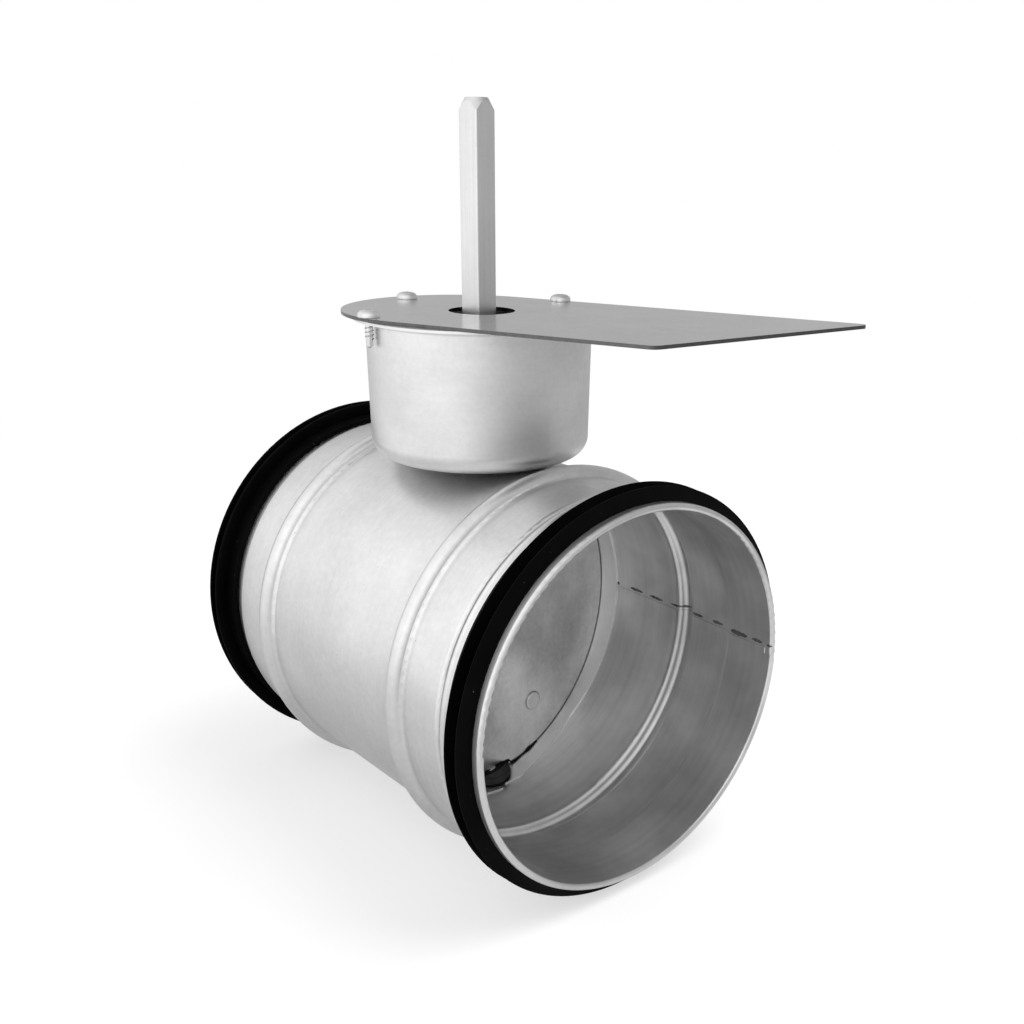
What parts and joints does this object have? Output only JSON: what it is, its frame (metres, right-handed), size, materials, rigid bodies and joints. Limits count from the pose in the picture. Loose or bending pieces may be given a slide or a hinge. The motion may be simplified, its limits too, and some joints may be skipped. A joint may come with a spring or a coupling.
{
  "type": "airtight shut-off damper",
  "caption": "Round duct shut-off damper with a rubber-sealed blade on a square shaft, gasketed spigots and a raised actuator plate.",
  "frame": {"origin": "point where the duct's axis crosses the shaft's axis", "axes": "+X along the duct's axis towards the front opening, +Z along the shaft towards its drive end"},
  "size_m": [0.1753, 0.1465, 0.2388],
  "materials": {
    "zinc_sheet": "bright galvanised sheet with a soft blotchy sheen",
    "plate_sheet": "semi-gloss galvanised sheet",
    "zinc_bright": "bright zinc plating",
    "spring_steel": "dark spring steel",
    "bright_bar": "satin drawn bar",
    "rubber": "black EPDM rubber",
    "black_plastic": "matt black nylon"
  },
  "bodies": {
    "casing": {"duct_body": "zinc_sheet", "seat_strips": "zinc_sheet", "spacer_cup": "zinc_sheet", "actuator_plate": "plate_sheet", "front_gasket": "rubber", "rear_gasket": "rubber", "cup_seat_pad": "rubber", "cup_rivets": "zinc_bright", "plate_screws": "zinc_bright", "upper_bush": "black_plastic", "lower_bush": "black_plastic", "upper_bush_gasket": "rubber", "lower_bush_gasket": "rubber", "shaft_o_ring": "rubber", "bush_nut": "zinc_bright", "lower_bush_ring": "spring_steel"},
    "blade": {"drive_shaft": "bright_bar", "shaft_sleeve": "black_plastic", "sleeve_clip": "spring_steel", "pivot_pin": "bright_bar", "blade_front_disc": "zinc_sheet", "blade_seal": "rubber", "blade_rear_disc": "zinc_sheet", "upper_bracket": "zinc_sheet", "lower_bracket": "zinc_sheet", "blade_rivets": "zinc_bright"}
  },
  "joints": [
    {"name": "blade_turn", "type": "hinge", "parent": "casing", "child": "blade", "pos_m": [0, 0, 0], "axis": [0, 0, 1], "range_deg": [0, 83]}
  ]
}
